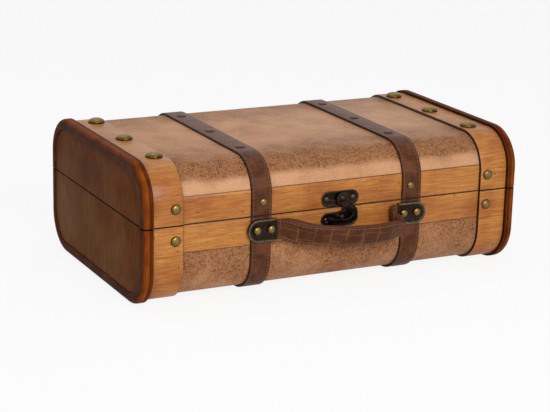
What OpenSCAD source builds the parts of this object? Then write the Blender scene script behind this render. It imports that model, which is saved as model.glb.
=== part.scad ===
// Small wooden travel case: two bent plywood trays with dark end rims, honey wood bands and
// strips, a leather look cover, embossed leather straps, a swing hook latch and a bowed
// leather handle held by two stamped caps. X runs along the case, the front faces -Y, and
// the origin is the middle of the base's resting plane.

/* [Case] */
// Length over the end rims
case_l = 380; // [320:1:460]
// Depth from front to back over the rims
case_d = 230; // [200:1:280]
// Height of the closed case over the rims
case_h = 130; // [124:1:160]
// Radius of the four rounded long edges
edge_r = 36.2; // [30:0.1:40]
// Height of the base's upper edge
seam_z = 75.3; // [70:0.1:80]
// Gap between base and lid when closed
seam_gap = 0.6; // [0.4:0.1:1]

/* [Walls and skins] */
// Thickness of the bent plywood wall
wall_t = 4.2; // [3:0.1:5]
// Depth of the cover's face behind the rim outline
cover_inset = 4.8; // [4.4:0.1:6]
// Thickness of the leather look cover
cover_t = 0.8; // [0.5:0.1:1.2]
// Thickness of the cloth lining
lining_t = 0.8; // [0.5:0.1:1.2]
// Thickness of the end boards
end_board_t = 12; // [9:0.5:15]
// Thickness of the panel on each end board
end_panel_t = 2.6; // [1.5:0.1:3]
// Depth of the end panel's face behind the rim's face
end_panel_sink = 1.4; // [0.8:0.1:2]
// Clearance round the end panel
end_panel_gap = 0.2; // [0.1:0.05:0.4]

/* [Rims, bands and strips] */
// Width of the end rims along the case
rim_w = 10.2; // [8:0.1:12]
// Radius of the rim's rounded outer corner
rim_round = 5; // [3:0.1:7]
// Width of the wood bands along the case
band_w = 28.8; // [22:0.1:34]
// Depth of the band's face behind the rim outline
band_inset = 2.4; // [1.5:0.1:3]
// Depth of the strip's face behind the rim outline
strip_inset = 4.2; // [3.6:0.1:4.3]
// Width of the strip on the base, down from the seam
base_strip_w = 25.5; // [18:0.1:30]
// Width of the strip on the lid, up from the seam
lid_strip_w = 24.4; // [18:0.1:28]

/* [Straps] */
// Distance from the middle of the case to each strap's middle
strap_x = 76.5; // [68:0.5:84]
// Width of the straps
strap_w = 20; // [16:0.5:22]
// Depth of the strap's face behind the rim outline
strap_inset = 2.4; // [2:0.1:3]

/* [Nails] */
// Radius of the shank of all nails and screws
shank_r = 0.9; // [0.7:0.05:1.1]
// Radial clearance round a shank
shank_gap = 0.1; // [0.05:0.05:0.2]
// Radius of the dome nails on the bands' front and back
band_nail_r = 4.75; // [3.5:0.05:5.5]
// Height of those domes
band_nail_h = 2.6; // [1.5:0.1:3]
// Distance of those nails from the band's inner edge
band_nail_x = 7.7; // [5:0.1:11]
// Height of the base's band nails below the seam
nail_below_seam = 13.6; // [10:0.1:18]
// Height of the lid's band nails above the seam
nail_above_seam = 14.9; // [10:0.1:17]
// Radius of the large domes on top of the bands
top_nail_r = 7.8; // [6:0.1:9]
// Height of the large domes
top_nail_h = 4.6; // [2:0.1:5]
// Distance of the large domes from the band's inner edge
top_nail_x = 10.5; // [8:0.1:15]
// Spacing of the large domes from front to back
top_nail_pitch = 69.5; // [60:0.5:72]
// Radius of the flat nails on the straps
strap_nail_r = 4.5; // [3:0.1:5]
// Height of the strap nails
strap_nail_h = 1; // [0.6:0.1:1.4]
// Spacing of the strap nails from front to back
strap_nail_pitch = 65; // [55:0.5:70]
// Radius of the brass rivets near the seam on the straps
strap_rivet_r = 3.6; // [2.5:0.1:4]
// Height of those rivets
strap_rivet_h = 1.8; // [1:0.1:2.2]
// Height of the lid's rivets above the seam
rivet_above_seam = 12.8; // [8:0.1:18]

/* [Latch] */
// Length of the two oval latch plates
latch_plate_w = 37.4; // [34:0.1:42]
// Height of the latch plates
latch_plate_h = 13.8; // [13:0.1:16]
// Thickness of the latch plates
latch_plate_t = 1.2; // [0.8:0.1:1.6]
// Height of the raised edge of the latch plates
latch_edge_h = 0.5; // [0.3:0.1:0.8]
// Width of the raised edge
latch_edge_w = 1.2; // [0.8:0.1:1.6]
// How far right of the case's middle the latch plates sit
latch_x = 2.2; // [0:0.1:4]
// Height of the upper plate's middle above the seam
latch_up = 8.2; // [7.8:0.1:10]
// Depth of the lower plate's middle below the seam
latch_down = 11.1; // [9.8:0.1:13]
// Distance of the screws beyond the middle of the plates' round ends
latch_screw_out = 1.6; // [0:0.1:3]
// Sideways place of the hook's pivot
pivot_x = 3.8; // [2:0.1:6]
// Radius of the pivot rivet's shank
pivot_r = 1.9; // [1.5:0.05:2.2]
// Radial running clearance of the hook on its rivet
pivot_gap = 0.08; // [0.04:0.01:0.1]
// Radius of the hook's pivot disc
hook_disc_r = 6.1; // [5:0.1:6.8]
// Thickness of the hook
hook_t = 1.8; // [1.2:0.1:2.2]
// Clearance between the raised edge and the hook
hook_gap = 0.3; // [0.3:0.05:0.5]
// Sideways place of the post
post_x = 3.2; // [2:0.1:5]
// Depth of the post below the hook's pivot
post_drop = 17; // [16:0.1:18]
// Radius of the post
post_r = 2.5; // [2:0.1:3]
// Clearance between the post and the hook's jaw
post_gap = 0.35; // [0.3:0.05:0.6]
// Width of the hook's jaw under the post
jaw_w = 4.8; // [3.5:0.1:5.5]

/* [Handle] */
// Distance from the middle of the case to the open end of each cap
cap_mouth_x = 62; // [58:0.5:66]
// Length of each cap
cap_l = 28.5; // [26:0.1:31]
// Height of each cap
cap_h = 21; // [19:0.1:23]
// Depth of the caps' middle below the seam
cap_down = 12.9; // [12:0.1:15]
// Thickness of the cap's sheet metal
cap_t = 1; // [0.7:0.1:1.2]
// Width of the raised edge of the cap
cap_edge_w = 1.7; // [1.2:0.1:2.2]
// Height of the raised edge of the cap
cap_edge_h = 0.8; // [0.4:0.1:1]
// Thickness of the handle's leather tab under the cap
tab_t = 1.4; // [1:0.1:1.8]
// Clearance between the tab and the cap's side wall
tab_gap = 0.2; // [0.1:0.05:0.4]
// Distance from the cap's open end to its first nail
cap_nail_first = 5.8; // [5:0.1:7]
// Distance from the cap's open end to its second nail
cap_nail_second = 19.5; // [17:0.1:21]
// Radius of the brass nails in the caps
cap_nail_r = 3.8; // [2.5:0.1:4]
// Height of those nails
cap_nail_h = 2.4; // [1:0.1:3]
// How far the bow stands out from its feet
grip_bow = 24; // [20:0.1:28]
// Half the distance between the two feet of the handle's bow
grip_half = 56.1; // [50:0.1:60]
// Distance from the left cap's mouth to the middle of the bow's left foot
grip_foot = 2.4; // [2.4:0.1:6]
// How far the bow leans towards the right cap
grip_lean = 29.5; // [0:0.5:32]
// Height of the handle's leather
grip_h = 20.8; // [16:0.1:21]
// Thickness of the handle's folded leather
grip_t = 4.4; // [3.6:0.1:5]
// Squareness of the bow, where 2 is an ellipse
grip_square = 2; // [1.6:0.1:4]
// Droop of the handle at rest, in degrees
grip_droop = 20.5; // [0:0.5:30]
// Thickness of the stiffener inside the handle
core_t = 1.6; // [1:0.1:2]
// Height of the stiffener inside the handle
core_h = 14; // [10:0.5:16]
// Radius round the flex line where the clamped leather ends
flex_r = 12; // [11.5:0.1:13]
// Gap between the clamped leather and the swinging leather
flex_gap = 0.3; // [0.3:0.05:0.6]

/* [Hinges] */
// Distance from the strap's outer edge to the middle of each hinge
hinge_x = 25.5; // [17:0.5:38]
// Width of the hinges
hinge_w = 32; // [26:1:38]
// Height of each hinge leaf
leaf_h = 14; // [11:0.5:16]
// Thickness of the hinge leaves
leaf_t = 1.2; // [0.9:0.1:1.5]
// Radius of the hinge barrel
barrel_r = 3; // [2.6:0.1:3.4]
// Distance of the hinge line behind the rims
hinge_back = 0.6; // [0.5:0.1:1.2]
// Radius of the hinge pin
pin_r = 1.2; // [1:0.05:1.4]
// Radial clearance of the pin in the lid's knuckle
pin_gap = 0.08; // [0.04:0.01:0.1]
// Gap between neighbouring knuckles
knuckle_gap = 0.3; // [0.3:0.05:0.5]

/* [Hidden] */
$fn = 64;
wall_inset = cover_inset + cover_t;
inner_inset = wall_inset + wall_t;
lining_inset = inner_inset + lining_t;
seam_mid = seam_z + seam_gap / 2;
lid_h = case_h - seam_z - seam_gap;
rim_x = case_l / 2 - rim_w;
band_x = rim_x - band_w;
panel_face_x = case_l / 2 - end_panel_sink;
board_face_x = panel_face_x - end_panel_t;
board_back_x = board_face_x - end_board_t;
row_shift = -1;
front_y = -case_d / 2;
strip_y = front_y + strip_inset;
strap_y = front_y + strap_inset;
pivot_z = seam_mid + latch_up;
post_z = pivot_z - post_drop;
cap_z = seam_mid - cap_down;
flex_y = strap_y - tab_t / 2;
nail_inner_x = cap_mouth_x + cap_nail_first;
nail_outer_x = cap_mouth_x + cap_nail_second;
nail_rise = 0.7;
grip_shift = grip_half - cap_mouth_x + grip_foot;
rivet_shift = 1.5;
rivet_shoulder = 1.2;
rivet_lip = 1.7;
rivet_head_h = 1.6;
post_rise = 0.4;
post_dome_h = 1.2;
leaf_rise = 1;
pin_head_h = 0.8;
core_back = 3;
hinge_mid = strap_x + strap_w / 2 + hinge_x;
shank_tip = 0.1;
slice_t = 0.1;
cut = 1;
hinge_y = case_d / 2 + hinge_back;
knuckle_l = (hinge_w - 2 * knuckle_gap) / 3;
screw_r = 2.3;
screw_h = 0.8;
latch_screw_x = latch_plate_w / 2 - latch_plate_h / 2 + latch_screw_out;
bronze = "#3a2f26";
brass = "#8a7a3a";
honey = "#c08045";
dark_wood = "#6b3418";
strap_brown = "#5a3525";

// The two trays share every form: a tray is drawn standing on z = 0, and the lid is its
// mirror image hung from the top.
module tray(lid) {
    if (lid) translate([0, 0, case_h]) mirror([0, 0, 1]) children();
    else children();
}

function tray_h(lid) = lid ? lid_h : seam_z;
function strip_w(lid) = lid ? lid_strip_w : base_strip_w;

module side(s) {
    if (s < 0) mirror([1, 0, 0]) children();
    else children();
}

// The case's end view, drawn in from the rim outline by inset.
module section(inset) {
    w = case_d - 2 * inset;
    h = case_h - 2 * inset;
    r = edge_r - inset;
    translate([-w / 2 + r, inset]) square([w - 2 * r, h]);
    translate([-w / 2, inset + r]) square([w, h - 2 * r]);
    for (y = [-w / 2 + r, w / 2 - r], z = [inset + r, inset + h - r])
        translate([y, z]) circle(r);
}

module below(h) {
    intersection() {
        children();
        translate([-case_d, 0]) square([2 * case_d, h]);
    }
}

// A layer that wraps the tray from one seam edge to the other.
module wrap(x0, x1, outer, inner, h) {
    translate([x0, 0, 0]) rotate([90, 0, 90]) linear_extrude(x1 - x0) below(h) difference() {
        section(outer);
        section(inner);
    }
}

// A flat plate that fills the tray's outline.
module plate(x0, x1, inset, h) {
    translate([x0, 0, 0]) rotate([90, 0, 90]) linear_extrude(x1 - x0) below(h) section(inset);
}

// Places on the case, each with local z pointing straight out of the rim outline.
module on_front(x, z) {
    for (s = [-1, 1]) translate([s * x, front_y, z]) rotate([90, 0, 0]) children();
}

module on_back(x, z) {
    for (s = [-1, 1]) translate([s * x, -front_y, z]) rotate([-90, 0, 0]) children();
}

module on_flat(x, pitch, lid) {
    for (s = [-1, 1], i = [-1, 0, 1]) {
        place = [s * x, i * pitch + row_shift, lid ? case_h : 0];
        translate(place) rotate([lid ? 0 : 180, 0, 0]) children();
    }
}

// A dome standing on z = 0, cut from a ball.
module dome(r, h) {
    ball_r = (r * r + h * h) / (2 * h);
    intersection() {
        translate([0, 0, h - ball_r]) sphere(ball_r, $fn = 96);
        cylinder(r = r + cut, h = h + cut);
    }
}

// A dome nail seated at a depth behind the rim outline, with its shank down to the wall.
module nail(r, h, seat) {
    translate([0, 0, -seat]) dome(r, h);
    translate([0, 0, shank_tip - wall_inset]) cylinder(r = shank_r, h = wall_inset - seat);
}

module nail_hole() {
    translate([0, 0, -inner_inset - cut])
        cylinder(r = shank_r + shank_gap, h = inner_inset + 2 * cut);
}

// Where every shank goes, used by the nails and by the holes they pass through.
module at_band_nails(lid) {
    z = lid ? seam_mid + nail_above_seam : seam_mid - nail_below_seam;
    on_front(band_x + band_nail_x, z) children();
    on_back(band_x + band_nail_x, z) children();
}

module at_strap_rivets(lid) {
    z = lid ? seam_mid + rivet_above_seam : seam_mid - cap_down;
    if (lid) on_front(strap_x - rivet_shift, z) children();
    on_back(strap_x, z) children();
}

module at_cap_nails() {
    on_front(nail_inner_x, cap_z + nail_rise) children();
    on_front(nail_outer_x, cap_z + nail_rise) children();
}

module at_latch_screws(lid) {
    z = lid ? seam_mid + latch_up : seam_mid - latch_down;
    translate([latch_x, 0, 0]) on_front(latch_screw_x, z) children();
}

module at_hinge_screws(lid) {
    z = seam_mid + (lid ? 1 : -1) * (barrel_r + leaf_rise + leaf_h / 2);
    for (step = [-1, 0, 1]) on_back(hinge_mid + step * hinge_w / 3, z) children();
}

// Bent plywood wall, open at both ends.
module carcass(lid) {
    color("#b08a5c") tray(lid) wrap(-rim_x, rim_x, wall_inset, inner_inset, tray_h(lid));
}

// Solid board that closes each end and carries the rim round its edge.
module end_board(s, lid) {
    color("#a8845a") side(s) tray(lid)
        plate(board_back_x, board_face_x, inner_inset, tray_h(lid));
}

// Cloth glued inside the wall and on the end boards.
module lining(lid) {
    color("#7a6a55") tray(lid) {
        wrap(-board_back_x, board_back_x, inner_inset, lining_inset, tray_h(lid));
        for (s = [-1, 1]) side(s)
            plate(board_back_x - lining_t, board_back_x, inner_inset + lining_t / 2, tray_h(lid));
    }
}

// Leather look sheet between the bands, stopping at the strips.
module cover(lid) {
    color("#b07a55") difference() {
        tray(lid) wrap(-band_x, band_x, cover_inset, wall_inset, tray_h(lid) - strip_w(lid));
        on_flat(strap_x, strap_nail_pitch, lid) nail_hole();
    }
}

// Wood strip beside the seam, bent with the wall where it reaches the rounded edge.
module strip(lid, face) {
    low = tray_h(lid) - strip_w(lid);
    color(honey) difference() {
        tray(lid) intersection() {
            wrap(-band_x, band_x, strip_inset, wall_inset, tray_h(lid));
            translate([-case_l, face < 0 ? -case_d : 0, low])
                cube([2 * case_l, case_d, case_h]);
        }
        at_strap_rivets(lid) nail_hole();
        at_latch_screws(lid) nail_hole();
        at_hinge_screws(lid) nail_hole();
        if (!lid) at_cap_nails() nail_hole();
        if (lid) pivot_frame() translate([0, 0, -cut - strip_inset])
            cylinder(r = pivot_r + shank_gap, h = wall_inset + cut);
        if (!lid) post_frame() translate([0, 0, -cut - strip_inset])
            cylinder(r = pivot_r + shank_gap, h = wall_inset + cut);
    }
}

// Wood band beside each rim.
module band(s, lid) {
    color(honey) difference() {
        side(s) tray(lid) wrap(band_x, rim_x, band_inset, wall_inset, tray_h(lid));
        at_band_nails(lid) nail_hole();
        if (lid) on_flat(band_x + top_nail_x, top_nail_pitch, true) nail_hole();
    }
}

// The rim's cross-section: first axis along the case, second axis in from the outline.
module rim_profile() {
    square([rim_w - rim_round, inner_inset]);
    translate([0, rim_round]) square([rim_w, inner_inset - rim_round]);
    intersection() {
        translate([rim_w - rim_round, rim_round]) circle(rim_round);
        square([rim_w, rim_round]);
    }
}

module rim_arm(h) {
    translate([0, front_y, edge_r]) linear_extrude(h - edge_r) rim_profile();
}

module rim_corner() {
    translate([0, front_y + edge_r, edge_r]) rotate([90, 0, 90]) rotate([0, 0, 180])
        rotate_extrude(angle = 90, $fn = 96) translate([edge_r, 0]) rotate(90) rim_profile();
}

// Solid wood moulding round each end, flush with the inner face of the wall.
module rim(s, lid) {
    color(dark_wood) side(s) tray(lid) translate([rim_x, 0, 0]) {
        rim_arm(tray_h(lid));
        rim_corner();
        mirror([0, 1, 0]) {
            rim_arm(tray_h(lid));
            rim_corner();
        }
        translate([0, case_d / 2 - edge_r, 0]) rotate([90, 0, 0])
            linear_extrude(case_d - 2 * edge_r) rim_profile();
    }
}

// Dark panel let into each end, inside the rim.
module end_panel(s, lid) {
    color("#5e4230") side(s) tray(lid)
        plate(board_face_x, panel_face_x, inner_inset + end_panel_gap, tray_h(lid));
}

// Leather strap that lies on the cover and climbs over the strips.
module strap(s, lid) {
    x0 = strap_x - strap_w / 2;
    x1 = strap_x + strap_w / 2;
    color(strap_brown) difference() {
        side(s) tray(lid) {
            wrap(x0, x1, strap_inset, strip_inset, tray_h(lid));
            wrap(x0, x1, strip_inset, cover_inset, tray_h(lid) - strip_w(lid));
        }
        at_strap_rivets(lid) nail_hole();
        on_flat(strap_x, strap_nail_pitch, lid) nail_hole();
        if (!lid) at_cap_nails() nail_hole();
    }
}

module band_nails(lid) {
    color(brass) at_band_nails(lid) nail(band_nail_r, band_nail_h, band_inset);
}

module top_nails() {
    color(brass) on_flat(band_x + top_nail_x, top_nail_pitch, true)
        nail(top_nail_r, top_nail_h, band_inset);
}

module strap_nails(lid) {
    color(bronze) on_flat(strap_x, strap_nail_pitch, lid)
        nail(strap_nail_r, strap_nail_h, strap_inset);
}

module strap_rivets(lid) {
    color(brass) at_strap_rivets(lid) nail(strap_rivet_r, strap_rivet_h, strap_inset);
}

// Local frames of the hook's pivot and of the post, with z out of the strip's face.
module pivot_frame() {
    translate([pivot_x, strip_y, pivot_z]) rotate([90, 0, 0]) children();
}

module post_frame() {
    translate([post_x, strip_y, post_z]) rotate([90, 0, 0]) children();
}

module oval(w, h) {
    square([w - h, h], center = true);
    for (s = [-1, 1]) translate([s * (w - h) / 2, 0]) circle(h / 2);
}

// Stamped oval plate with a raised edge and two screw holes.
module latch_plate() {
    difference() {
        linear_extrude(latch_plate_t + latch_edge_h) oval(latch_plate_w, latch_plate_h);
        translate([0, 0, latch_plate_t]) linear_extrude(latch_edge_h + cut)
            oval(latch_plate_w - 2 * latch_edge_w, latch_plate_h - 2 * latch_edge_w);
        for (s = [-1, 1]) translate([s * latch_screw_x, 0, -cut])
            cylinder(r = shank_r + shank_gap, h = latch_plate_t + 2 * cut);
    }
}

module latch_pivot_plate() {
    color(bronze) difference() {
        translate([latch_x, strip_y, pivot_z]) rotate([90, 0, 0]) latch_plate();
        pivot_frame() translate([0, 0, -cut])
            cylinder(r = pivot_r + shank_gap, h = latch_plate_t + 2 * cut);
    }
}

hook_back = latch_plate_t + latch_edge_h + hook_gap;

// Rivet with a shoulder that holds the hook clear of the plate's raised edge.
module latch_pivot_rivet() {
    foot = wall_inset - strip_inset - shank_tip;
    shoulder = hook_back - latch_plate_t - hook_gap / 2;
    head_z = hook_back + hook_t + hook_gap / 2;
    color(bronze) pivot_frame() {
        translate([0, 0, -foot]) cylinder(r = pivot_r, h = foot + head_z);
        translate([0, 0, latch_plate_t]) cylinder(r = pivot_r + rivet_shoulder, h = shoulder);
        translate([0, 0, head_z]) dome(pivot_r + rivet_lip, rivet_head_h);
    }
}

module ring_sector(r0, r1, a0, a1) {
    far = 3 * r1;
    intersection() {
        difference() {
            circle(r1);
            circle(r0);
        }
        polygon([[0, 0], [far * cos(a0), far * sin(a0)], [far * cos(a1), far * sin(a1)]]);
    }
}

// The hook's outline about its pivot. Its jaw is an arc struck from the pivot, so the post
// slides along it when the hook swings.
module hook_outline() {
    post_dist = norm([post_x - pivot_x, post_drop]);
    jaw_r = post_dist + post_r + post_gap;
    slot_r = post_dist - post_r - post_gap;
    tip_a = -125;
    eye = [4.9, -13.6];
    eye_r = 5.3;
    bulb = [6.4, -14.8];
    bulb_r = 9.3;
    difference() {
        union() {
            circle(hook_disc_r);
            translate(bulb) circle(bulb_r);
            polygon([[-1.2, -5.8], [2.6, -9], [4, -14.8], [bulb[0] + bulb_r, -14.8], [5.6, 2.4]]);
            ring_sector(jaw_r, jaw_r + jaw_w, tip_a, -75);
            translate((jaw_r + jaw_w / 2) * [cos(tip_a), sin(tip_a)]) circle(jaw_w / 2);
        }
        translate(eye) circle(eye_r);
        ring_sector(slot_r, jaw_r, -150, -72);
    }
}

// Flat swing hook that turns on the rivet and catches under the post.
module latch_hook() {
    color(bronze) pivot_frame() translate([0, 0, hook_back]) difference() {
        linear_extrude(hook_t) hook_outline();
        translate([0, 0, -cut]) cylinder(r = pivot_r + pivot_gap, h = hook_t + 2 * cut);
    }
}

// Lower plate with its post, riveted through the strip.
module latch_post_plate() {
    foot = wall_inset - strip_inset - shank_tip;
    post_h = hook_back + hook_t + post_rise;
    color(bronze) {
        translate([latch_x, strip_y, seam_mid - latch_down]) rotate([90, 0, 0]) latch_plate();
        post_frame() {
            translate([0, 0, -foot]) cylinder(r = pivot_r, h = foot + cut);
            cylinder(r = post_r, h = post_h);
            translate([0, 0, post_h]) dome(post_r, post_dome_h);
        }
    }
}

module latch_screws(lid) {
    color(bronze) at_latch_screws(lid) nail(screw_r, screw_h - 0.3, strip_inset - latch_plate_t);
}

// Outline of a cap or of the tab under it: straight to the open end, round at the far end.
module cap_outline(trim) {
    r = cap_h / 2 - trim;
    round_x = cap_l - cap_h / 2;
    translate([0, -r]) square([round_x, 2 * r]);
    translate([round_x, 0]) circle(r);
}

module cap_frame(s) {
    side(s) translate([cap_mouth_x, strap_y, cap_z]) rotate([90, 0, 0]) children();
}

// Stamped cap: a face plate, a side wall down to the strap and a raised edge, open at the
// end that the leather leaves by.
module handle_cap(s) {
    color(bronze) difference() {
        cap_frame(s) {
            difference() {
                linear_extrude(tab_t + cap_t + cap_edge_h) cap_outline(0);
                translate([0, 0, -cut]) linear_extrude(tab_t + cut) tab_room();
                translate([0, 0, tab_t + cap_t]) linear_extrude(cap_edge_h + cut)
                    tab_room(cap_edge_w);
            }
        }
        at_cap_nails() nail_hole_long();
    }
}

module tab_room(trim = cap_t) {
    cap_outline(trim);
    translate([-cut, trim - cap_h / 2]) square([2 * cut, cap_h - 2 * trim]);
}

module nail_hole_long() {
    reach = tab_t + cap_t + cap_edge_h;
    translate([0, 0, -wall_inset - cut])
        cylinder(r = shank_r + shank_gap, h = wall_inset + reach + cut);
}

module cap_nails() {
    color(brass) at_cap_nails() {
        seat = strap_inset - tab_t - cap_t;
        translate([0, 0, -seat]) dome(cap_nail_r, cap_nail_h);
        translate([0, 0, shank_tip - wall_inset]) cylinder(r = shank_r, h = wall_inset - seat);
    }
}

// Middle line of the bow in plan: a superellipse that leans to the right as it comes out.
// The angle a runs from 0 at the right foot to 180 at the left one.
function bow_middle(a) =
    let(c = abs(cos(a)), s = abs(sin(a)), k = pow(pow(c, grip_square) + pow(s, grip_square),
        1 / grip_square))
    [grip_shift + grip_half * cos(a) / k + grip_lean * s / k, -grip_bow * sin(a) / k];

// Which way the leather runs at a, as a unit vector, and a point offset from the middle line.
function bow_run(a) =
    let(d = bow_middle(min(a + 1, 180)) - bow_middle(max(a - 1, 0)))
    d / norm(d);
function bow_side(a, offset) = bow_middle(a) + offset * [bow_run(a)[1], -bow_run(a)[0]];

module bow(t, h) {
    steps = 48;
    outer = [for (i = [0 : steps]) bow_side(180 * i / steps, -t / 2)];
    inner = [for (i = [steps : -1 : 0]) bow_side(180 * i / steps, t / 2)];
    translate([0, 0, -h / 2]) linear_extrude(h) polygon(concat(outer, inner));
}

// Frame of the flex line, which runs along X through the middle of the two tabs.
module flex_frame(angle) {
    translate([0, flex_y, cap_z]) rotate([angle, 0, 0]) children();
}

module flex_cylinder(r) {
    rotate([0, 90, 0]) cylinder(r = r, h = case_l, center = true, $fn = 96);
}

// A thin slice across the leather. It stands upright at the foot and has turned to the full
// droop by the time it reaches the swinging part.
module leather_slice(a) {
    middle = bow_middle(a);
    share = min(-middle[1] / flex_r, 1);
    flex_frame(grip_droop * share * share * (3 - 2 * share))
        translate([middle[0], middle[1], 0])
            rotate([0, 0, atan2(bow_run(a)[1], bow_run(a)[0])])
                cube([slice_t, grip_t, grip_h], center = true);
}

// Clamped end of the handle's leather: a thin tab under the cap, whose leather turns out of
// the mouth and twists as it comes to hang.
module handle_end(s) {
    tab_back = 0.9 * cap_l;
    foot_x = s < 0 ? cap_mouth_x - grip_foot : grip_half + grip_shift;
    stem = cap_mouth_x - foot_x + grip_t / 2;
    slices = 6;
    reach = 46;
    color(strap_brown) difference() {
        union() {
            intersection() {
                union() for (i = [0 : slices - 1]) hull() {
                    leather_slice(s < 0 ? 180 - reach * i / slices : reach * i / slices);
                    leather_slice(s < 0 ? 180 - reach * (i + 1) / slices
                        : reach * (i + 1) / slices);
                }
                flex_frame(0) flex_cylinder(flex_r);
                side(s) translate([0, -case_d, 0])
                    cube([cap_mouth_x - tab_gap, case_d + strap_y, case_h]);
            }
            cap_frame(s) {
                linear_extrude(tab_t) intersection() {
                    cap_outline(cap_t + tab_gap);
                    translate([0, -cap_h]) square([tab_back, 2 * cap_h]);
                }
                linear_extrude(tab_t) translate([-stem, cap_t + tab_gap - cap_h / 2])
                    square([stem + cut, cap_h - 2 * (cap_t + tab_gap)]);
            }
        }
        at_cap_nails() nail_hole_long();
    }
}

module handle_core() {
    color("#8a6a48") flex_frame(grip_droop) difference() {
        bow(core_t, core_h);
        flex_cylinder(flex_r + core_back);
    }
}

// Leather folded round the stiffener and stitched, which hangs from its two clamped ends.
module handle_grip() {
    color(strap_brown) flex_frame(grip_droop) difference() {
        bow(grip_t, grip_h);
        flex_cylinder(flex_r + flex_gap);
        difference() {
            bow(core_t, core_h);
            flex_cylinder(flex_r + core_back);
        }
    }
}

module hinge_frame(s) {
    side(s) translate([hinge_mid, hinge_y, seam_mid]) children();
}

// A leaf with its knuckles. up is 1 for the lid's leaf and -1 for the base's, and knuckles
// lists the middle of each of its knuckles along the pin.
module hinge_leaf(s, up, knuckles, bore_r) {
    face = strip_inset + hinge_back;
    edge = barrel_r + leaf_rise;
    web = [[-face, edge], [leaf_t - face, edge], [-0.7 * barrel_r, 0.7 * barrel_r],
        [-0.98 * barrel_r, 0], [-0.5 * (face + barrel_r), 0.5 * edge]];
    hole_z = edge + leaf_h / 2;
    color(bronze) hinge_frame(s) mirror([0, 0, up > 0 ? 0 : 1]) difference() {
        union() {
            translate([-hinge_w / 2, -face, edge]) cube([hinge_w, leaf_t, leaf_h]);
            for (x = knuckles) translate([x - knuckle_l / 2, 0, 0]) rotate([90, 0, 90]) {
                cylinder(r = barrel_r, h = knuckle_l);
                linear_extrude(knuckle_l) polygon(web);
            }
        }
        rotate([0, 90, 0]) cylinder(r = bore_r, h = 2 * hinge_w, center = true);
        for (x = [-hinge_w / 3, 0, hinge_w / 3]) translate([x, cut - face + leaf_t, hole_z])
            rotate([90, 0, 0]) cylinder(r = shank_r + shank_gap, h = leaf_t + 2 * cut);
    }
}

module hinge_base_leaf(s) {
    outer = knuckle_l + knuckle_gap;
    hinge_leaf(s, -1, [-outer, outer], pin_r + 0.02);
}

module hinge_lid_leaf(s) {
    hinge_leaf(s, 1, [0], pin_r + pin_gap);
}

// Pin pressed into the base's knuckles, with a small head at each end.
module hinge_pin(s) {
    color(bronze) hinge_frame(s) rotate([0, 90, 0]) {
        cylinder(r = pin_r, h = hinge_w, center = true);
        for (up = [0, 1]) mirror([0, 0, up]) translate([0, 0, hinge_w / 2])
            dome(0.7 * barrel_r, pin_head_h);
    }
}

module hinge_screws(lid) {
    color(bronze) at_hinge_screws(lid) nail(screw_r, screw_h, strip_inset - leaf_t);
}

carcass(false);  // base_carcass
end_board(-1, false);  // base_end_board_left
end_board(1, false);  // base_end_board_right
lining(false);  // base_lining
cover(false);  // base_cover
strip(false, -1);  // base_front_strip
strip(false, 1);  // base_back_strip
band(-1, false);  // base_band_left
band(1, false);  // base_band_right
rim(-1, false);  // base_rim_left
rim(1, false);  // base_rim_right
end_panel(-1, false);  // base_end_panel_left
end_panel(1, false);  // base_end_panel_right
strap(-1, false);  // base_strap_left
strap(1, false);  // base_strap_right
band_nails(false);  // base_band_nails
strap_nails(false);  // base_strap_nails
strap_rivets(false);  // base_strap_rivets
carcass(true);  // lid_carcass
end_board(-1, true);  // lid_end_board_left
end_board(1, true);  // lid_end_board_right
lining(true);  // lid_lining
cover(true);  // lid_cover
strip(true, -1);  // lid_front_strip
strip(true, 1);  // lid_back_strip
band(-1, true);  // lid_band_left
band(1, true);  // lid_band_right
rim(-1, true);  // lid_rim_left
rim(1, true);  // lid_rim_right
end_panel(-1, true);  // lid_end_panel_left
end_panel(1, true);  // lid_end_panel_right
strap(-1, true);  // lid_strap_left
strap(1, true);  // lid_strap_right
band_nails(true);  // lid_band_nails
top_nails();  // lid_top_nails
strap_nails(true);  // lid_strap_nails
strap_rivets(true);  // lid_strap_rivets
hinge_base_leaf(-1);  // hinge_base_leaf_left
hinge_base_leaf(1);  // hinge_base_leaf_right
hinge_lid_leaf(-1);  // hinge_lid_leaf_left
hinge_lid_leaf(1);  // hinge_lid_leaf_right
hinge_pin(-1);  // hinge_pin_left
hinge_pin(1);  // hinge_pin_right
hinge_screws(false);  // hinge_base_screws
hinge_screws(true);  // hinge_lid_screws
latch_pivot_plate();
latch_pivot_rivet();
latch_hook();
latch_post_plate();
latch_screws(true);  // latch_lid_screws
latch_screws(false);  // latch_base_screws
handle_cap(-1);  // handle_cap_left
handle_cap(1);  // handle_cap_right
cap_nails();  // handle_cap_nails
handle_end(-1);  // handle_end_left
handle_end(1);  // handle_end_right
handle_grip();
handle_core();
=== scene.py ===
import math

import bpy
from mathutils import Matrix, Vector


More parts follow.
